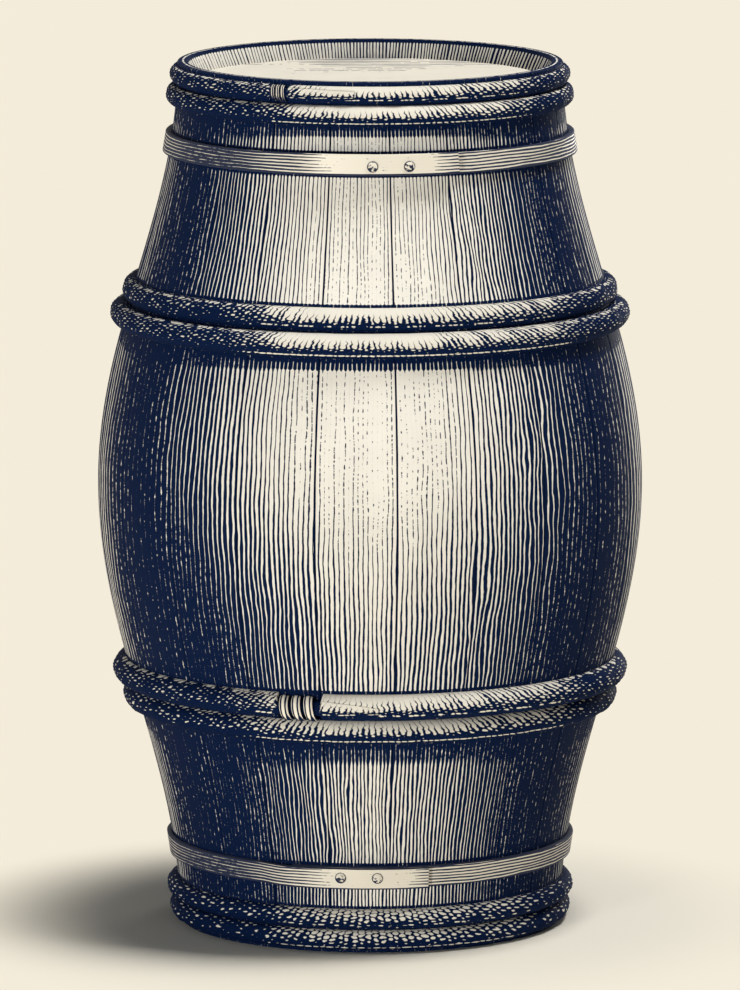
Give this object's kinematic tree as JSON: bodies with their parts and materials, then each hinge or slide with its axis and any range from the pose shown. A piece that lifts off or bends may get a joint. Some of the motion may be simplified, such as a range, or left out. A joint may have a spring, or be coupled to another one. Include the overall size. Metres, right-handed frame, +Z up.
{
  "type": "wine barrel",
  "caption": "Upright coopered cask: bulged wooden staves, recessed board heads, bark-covered hoops lashed with osier, riveted iron hoops and a tapered bung.",
  "frame": {"origin": "centre of the circle that the bottom rim stands on", "axes": "+Z up along the cask's axis, +Y out through the bung hole, -Y towards the riveted laps"},
  "size_m": [0.5397, 0.5472, 0.86],
  "materials": {
    "stave_oak": "planed, matt",
    "head_oak": "planed, matt",
    "osier": "peeled, satin",
    "chestnut_bark": "rough bark",
    "hoop_iron": "rolled, satin",
    "bung_poplar": "turned, matt"
  },
  "bodies": {
    "cask": {"bung_stave": "stave_oak", "stave_01": "stave_oak", "stave_02": "stave_oak", "stave_03": "stave_oak", "stave_04": "stave_oak", "stave_05": "stave_oak", "stave_06": "stave_oak", "stave_07": "stave_oak", "stave_08": "stave_oak", "stave_09": "stave_oak", "stave_10": "stave_oak", "stave_11": "stave_oak", "stave_12": "stave_oak", "stave_13": "stave_oak", "stave_14": "stave_oak", "stave_15": "stave_oak", "stave_16": "stave_oak", "stave_17": "stave_oak", "stave_18": "stave_oak", "stave_19": "stave_oak", "stave_20": "stave_oak", "top_head_board_1": "head_oak", "top_head_board_2": "head_oak", "top_head_board_3": "head_oak", "top_head_board_4": "head_oak", "bottom_head_board_1": "head_oak", "bottom_head_board_2": "head_oak", "bottom_head_board_3": "head_oak", "bottom_head_board_4": "head_oak", "top_head_dowel_1": "osier", "top_head_dowel_2": "osier", "top_head_dowel_3": "osier", "bottom_head_dowel_1": "osier", "bottom_head_dowel_2": "osier", "bottom_head_dowel_3": "osier", "top_chime_hoop": "chestnut_bark", "top_head_hoop": "chestnut_bark", "top_quarter_hoop": "chestnut_bark", "top_bilge_hoop": "chestnut_bark", "bottom_bilge_hoop": "chestnut_bark", "bottom_quarter_hoop": "chestnut_bark", "bottom_head_hoop": "chestnut_bark", "bottom_chime_hoop": "chestnut_bark", "top_chime_lashing": "osier", "top_head_lashing": "osier", "top_quarter_lashing": "osier", "top_bilge_lashing": "osier", "bottom_bilge_lashing": "osier", "bottom_quarter_lashing": "osier", "bottom_head_lashing": "osier", "bottom_chime_lashing": "osier", "top_iron_hoop": "hoop_iron", "bottom_iron_hoop": "hoop_iron", "top_iron_rivet_1": "hoop_iron", "top_iron_rivet_2": "hoop_iron", "bottom_iron_rivet_1": "hoop_iron", "bottom_iron_rivet_2": "hoop_iron"},
    "bung": {"bung": "bung_poplar"}
  },
  "joints": [
    {"name": "bung_pull", "type": "slide", "parent": "cask", "child": "bung", "axis": [0, 1, 0], "range_m": [0, 0.06]}
  ]
}
